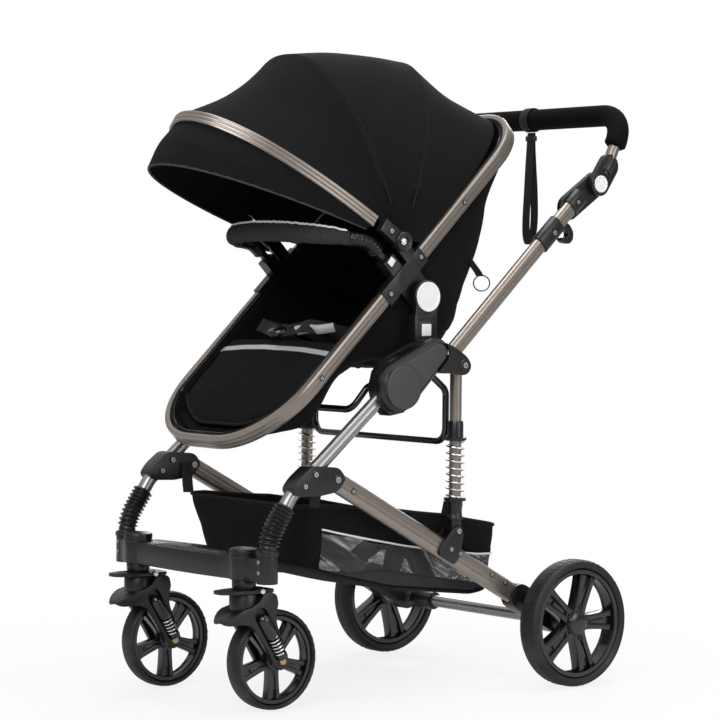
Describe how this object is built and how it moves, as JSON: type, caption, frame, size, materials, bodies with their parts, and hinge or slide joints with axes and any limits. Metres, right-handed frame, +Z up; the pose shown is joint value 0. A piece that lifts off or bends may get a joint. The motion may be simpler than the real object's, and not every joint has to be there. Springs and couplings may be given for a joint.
{
  "type": "baby stroller",
  "caption": "Fold-up baby stroller with a tilting seat, folding hood, sprung rear struts, swivel front wheels and a basket.",
  "frame": {"origin": "on the ground, under the middle of the stroller", "axes": "+Z up, -Y the front, +X the left side of the stroller"},
  "size_m": [0.5748, 0.9072, 1.1269],
  "materials": {
    "champagne": "satin brushed",
    "silver": "satin brushed",
    "chrome": "polished",
    "black_plastic": "fine textured",
    "rubber": "matt ribbed",
    "tyre": "matt",
    "foam": "matt",
    "white_plastic": "smooth",
    "cloth": "woven",
    "webbing": "woven"
  },
  "bodies": {
    "front_frame": {"front_leg_left": "silver", "front_leg_right": "silver", "leg_boot_left": "rubber", "leg_boot_right": "rubber", "leg_bracket_left": "black_plastic", "leg_bracket_right": "black_plastic", "footboard": "black_plastic", "hinge_shell_left": "black_plastic", "hinge_shell_right": "black_plastic", "front_crossbar": "black_plastic", "rear_crossbar": "black_plastic", "basket": "cloth"},
    "handle": {"hinge_cover_left": "black_plastic", "hinge_cover_right": "black_plastic", "handle_tube_left": "champagne", "handle_tube_right": "champagne"},
    "rear_frame": {"rear_leg_left": "champagne", "rear_leg_right": "champagne", "rear_axle": "black_plastic"},
    "struts": {"strut_left": "champagne", "strut_right": "champagne", "strut_spring_left": "chrome", "strut_spring_right": "chrome"},
    "grip": {"grip_bar": "champagne", "grip_foam": "foam", "wrist_strap": "webbing"},
    "seat_carriers": {"seat_carrier_left": "black_plastic", "seat_carrier_right": "black_plastic"},
    "seat": {"seat_frame": "champagne", "seat_connector_left": "black_plastic", "seat_connector_right": "black_plastic", "seat_liner": "cloth"},
    "bumper": {"bumper_bar": "cloth"},
    "hood_back": {"hood_rear": "cloth"},
    "hood_centre": {"hood_middle": "cloth"},
    "hood_top": {"hood_front": "cloth", "hood_bow": "champagne"},
    "pedal": {"brake_pedal": "black_plastic"},
    "caster_left": {"fork_left": "black_plastic"},
    "lever_left": {"lock_lever_left": "black_plastic"},
    "front_wheel_left": {"front_tyre_left": "tyre", "front_rim_left": "black_plastic"},
    "rear_wheel_left": {"rear_tyre_left": "tyre", "rear_rim_left": "black_plastic"},
    "trigger_left": {"fold_trigger_left": "black_plastic"},
    "grip_press_left": {"grip_button_left": "white_plastic"},
    "carrier_press_left": {"carrier_button_left": "white_plastic"},
    "tilt_press_left": {"tilt_button_left": "white_plastic"},
    "bar_press_left": {"bar_button_left": "white_plastic"},
    "caster_right": {"fork_right": "black_plastic"},
    "lever_right": {"lock_lever_right": "black_plastic"},
    "front_wheel_right": {"front_tyre_right": "tyre", "front_rim_right": "black_plastic"},
    "rear_wheel_right": {"rear_tyre_right": "tyre", "rear_rim_right": "black_plastic"},
    "trigger_right": {"fold_trigger_right": "black_plastic"},
    "grip_press_right": {"grip_button_right": "white_plastic"},
    "carrier_press_right": {"carrier_button_right": "white_plastic"},
    "tilt_press_right": {"tilt_button_right": "white_plastic"},
    "bar_press_right": {"bar_button_right": "white_plastic"}
  },
  "joints": [
    {"name": "fold", "type": "hinge", "parent": "front_frame", "child": "handle", "pos_m": [0, -0.08566, 0.543], "axis": [1, 0, 0], "range_deg": [0, 70], "deforming": ["wrist_strap"]},
    {"name": "rear_leg_fold", "type": "hinge", "parent": "front_frame", "child": "rear_frame", "pos_m": [0, -0.22866, 0.3905], "axis": [1, 0, 0], "range_deg": [-0.01, 22.34]},
    {"name": "strut_fold", "type": "hinge", "parent": "rear_frame", "child": "struts", "pos_m": [0, 0.04334, 0.289], "axis": [1, 0, 0], "range_deg": [-0.01, 8.34]},
    {"name": "grip_tilt", "type": "hinge", "parent": "handle", "child": "grip", "pos_m": [0, 0.35734, 0.9045], "axis": [1, 0, 0], "range_deg": [-60, 20], "deforming": ["wrist_strap"]},
    {"name": "seat_lift", "type": "slide", "parent": "front_frame", "child": "seat_carriers", "axis": [0, 0, 1], "range_m": [0, 0.12]},
    {"name": "seat_tilt", "type": "hinge", "parent": "seat_carriers", "child": "seat", "pos_m": [0, -0.00966, 0.699], "axis": [1, 0, 0], "range_deg": [-20, 6]},
    {"name": "bumper_pull", "type": "slide", "parent": "seat", "child": "bumper", "axis": [0, -0.788, 0.6157], "range_m": [0, 0.014]},
    {"name": "hood_rear_fold", "type": "hinge", "parent": "seat", "child": "hood_back", "pos_m": [0, -0.06466, 0.794], "axis": [1, 0, 0], "range_deg": [-16.01, 0.01], "deforming": ["hood_rear", "hood_middle", "hood_front"]},
    {"name": "hood_middle_fold", "type": "hinge", "parent": "hood_back", "child": "hood_centre", "pos_m": [0, -0.06466, 0.794], "axis": [1, 0, 0], "range_deg": [-31.01, 0.01], "deforming": ["hood_middle", "hood_front"]},
    {"name": "hood_front_fold", "type": "hinge", "parent": "hood_centre", "child": "hood_top", "pos_m": [0, -0.06466, 0.794], "axis": [1, 0, 0], "range_deg": [-37, 0], "deforming": ["hood_rear", "hood_middle", "hood_front"]},
    {"name": "brake_press", "type": "hinge", "parent": "rear_frame", "child": "pedal", "pos_m": [0, 0.28034, 0.115], "axis": [1, 0, 0], "range_deg": [-20, 0], "stiffness_Nm_per_rad": 1.2},
    {"name": "caster_swivel_left", "type": "hinge", "parent": "front_frame", "child": "caster_left", "pos_m": [0.158, -0.37316, 0.25], "axis": [0, 0, 1], "continuous": true},
    {"name": "caster_lock_left", "type": "hinge", "parent": "caster_left", "child": "lever_left", "pos_m": [0.158, -0.32566, 0.2033], "axis": [-1, 0, 0], "range_deg": [0, 8]},
    {"name": "front_wheel_spin_left", "type": "hinge", "parent": "caster_left", "child": "front_wheel_left", "pos_m": [0.158, -0.31466, 0.0865], "axis": [1, 0, 0], "continuous": true},
    {"name": "rear_wheel_spin_left", "type": "hinge", "parent": "rear_frame", "child": "rear_wheel_left", "pos_m": [0.2664, 0.28034, 0.115], "axis": [1, 0, 0], "continuous": true},
    {"name": "fold_trigger_pull_left", "type": "slide", "parent": "handle", "child": "trigger_left", "axis": [0, 0.7326, 0.6806], "range_m": [0, 0.009], "stiffness_N_per_m": 300, "springref_m": -0.01},
    {"name": "grip_button_press_left", "type": "slide", "parent": "grip", "child": "grip_press_left", "axis": [-1, 0, 0], "range_m": [0, 0.002], "stiffness_N_per_m": 400, "springref_m": -0.003},
    {"name": "carrier_button_press_left", "type": "slide", "parent": "seat_carriers", "child": "carrier_press_left", "axis": [-1, 0, 0], "range_m": [0, 0.002], "stiffness_N_per_m": 400, "springref_m": -0.003},
    {"name": "tilt_button_press_left", "type": "slide", "parent": "seat_carriers", "child": "tilt_press_left", "axis": [-1, 0, 0], "range_m": [0, 0.002], "stiffness_N_per_m": 400, "springref_m": -0.003},
    {"name": "bar_button_press_left", "type": "slide", "parent": "seat", "child": "bar_press_left", "axis": [-1, 0, 0], "range_m": [0, 0.0009], "stiffness_N_per_m": 400, "springref_m": -0.003},
    {"name": "caster_swivel_right", "type": "hinge", "parent": "front_frame", "child": "caster_right", "pos_m": [-0.158, -0.37316, 0.25], "axis": [0, 0, 1], "continuous": true},
    {"name": "caster_lock_right", "type": "hinge", "parent": "caster_right", "child": "lever_right", "pos_m": [-0.158, -0.32566, 0.2033], "axis": [-1, 0, 0], "range_deg": [0, 8]},
    {"name": "front_wheel_spin_right", "type": "hinge", "parent": "caster_right", "child": "front_wheel_right", "pos_m": [-0.158, -0.31466, 0.0865], "axis": [1, 0, 0], "continuous": true},
    {"name": "rear_wheel_spin_right", "type": "hinge", "parent": "rear_frame", "child": "rear_wheel_right", "pos_m": [-0.2664, 0.28034, 0.115], "axis": [1, 0, 0], "continuous": true},
    {"name": "fold_trigger_pull_right", "type": "slide", "parent": "handle", "child": "trigger_right", "axis": [0, 0.7326, 0.6806], "range_m": [0, 0.009], "stiffness_N_per_m": 300, "springref_m": -0.01},
    {"name": "grip_button_press_right", "type": "slide", "parent": "grip", "child": "grip_press_right", "axis": [1, 0, 0], "range_m": [0, 0.002], "stiffness_N_per_m": 400, "springref_m": -0.003},
    {"name": "carrier_button_press_right", "type": "slide", "parent": "seat_carriers", "child": "carrier_press_right", "axis": [1, 0, 0], "range_m": [0, 0.002], "stiffness_N_per_m": 400, "springref_m": -0.003},
    {"name": "tilt_button_press_right", "type": "slide", "parent": "seat_carriers", "child": "tilt_press_right", "axis": [1, 0, 0], "range_m": [0, 0.002], "stiffness_N_per_m": 400, "springref_m": -0.003},
    {"name": "bar_button_press_right", "type": "slide", "parent": "seat", "child": "bar_press_right", "axis": [1, 0, 0], "range_m": [0, 0.0009], "stiffness_N_per_m": 400, "springref_m": -0.003}
  ],
  "couplings": [
    {"joint": "rear_leg_fold", "follows": "fold", "ratio": 0.31905},
    {"joint": "strut_fold", "follows": "fold", "ratio": 0.11905},
    {"joint": "hood_rear_fold", "follows": "hood_front_fold", "ratio": 0.43243},
    {"joint": "hood_middle_fold", "follows": "hood_front_fold", "ratio": 0.83784}
  ]
}
